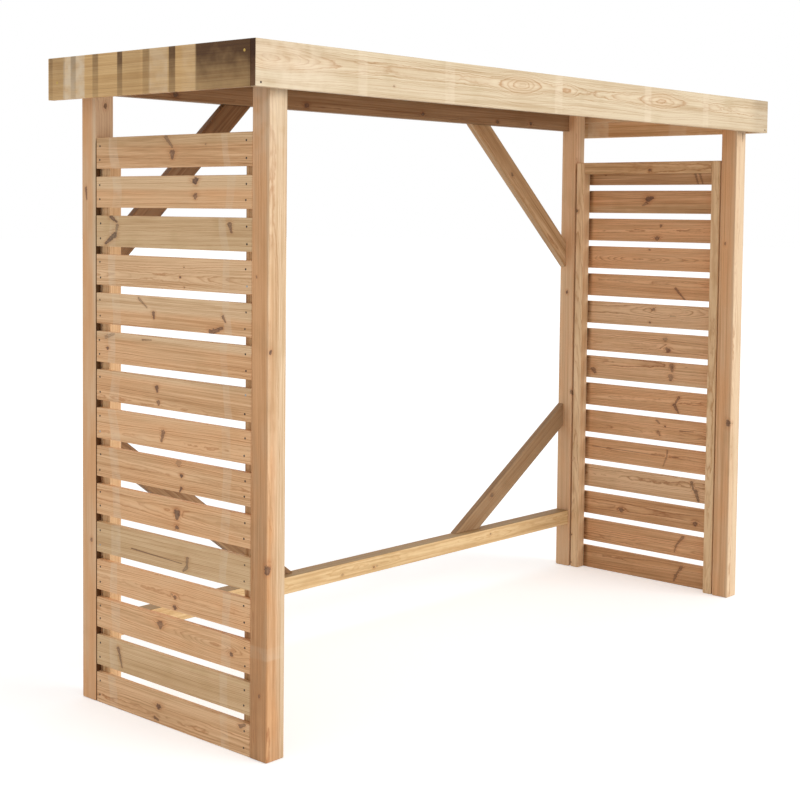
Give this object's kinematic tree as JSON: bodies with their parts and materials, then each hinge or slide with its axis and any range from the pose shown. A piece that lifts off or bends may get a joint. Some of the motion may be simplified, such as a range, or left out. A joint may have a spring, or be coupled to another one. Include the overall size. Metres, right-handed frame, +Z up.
{
  "type": "open slatted timber shelter",
  "caption": "Open-fronted timber shelter on corner posts, with slatted end panels, a flat boxed roof, a braced rear frame and a low rear rail.",
  "frame": {"origin": "on the ground at the centre of the shelter's plan", "axes": "+X along the length to the right seen from the open front, +Y towards the braced rear, +Z up"},
  "size_m": [2.84, 0.96, 2.0456],
  "materials": {
    "posts": "planed pine, pressure treated, new",
    "roof_frame": "planed pine, pressure treated, browner",
    "fascia": "planed pine, pale, with growth-ring figure",
    "deck": "planed pine boards",
    "felt": "mineral-surfaced bitumen roofing felt",
    "panels": "planed pine slats, nailed",
    "rear_rail": "planed pine, yellowish",
    "braces": "planed pine, pressure treated, browner"
  },
  "bodies": {
    "root": {"post_front_left": "posts", "post_front_right": "posts", "post_rear_left": "posts", "post_rear_right": "posts", "front_top_beam": "roof_frame", "rear_top_beam": "roof_frame", "left_edge_batten": "roof_frame", "right_edge_batten": "roof_frame", "front_fascia": "fascia", "rear_fascia": "fascia", "left_fascia": "fascia", "right_fascia": "fascia", "roof_deck": "deck", "roofing_felt": "felt", "left_slat_panel": "panels", "right_slat_panel": "panels", "rear_bottom_rail": "rear_rail", "upper_brace_left": "braces", "upper_brace_right": "braces", "lower_brace_left": "braces", "lower_brace_right": "braces"}
  },
  "joints": []
}
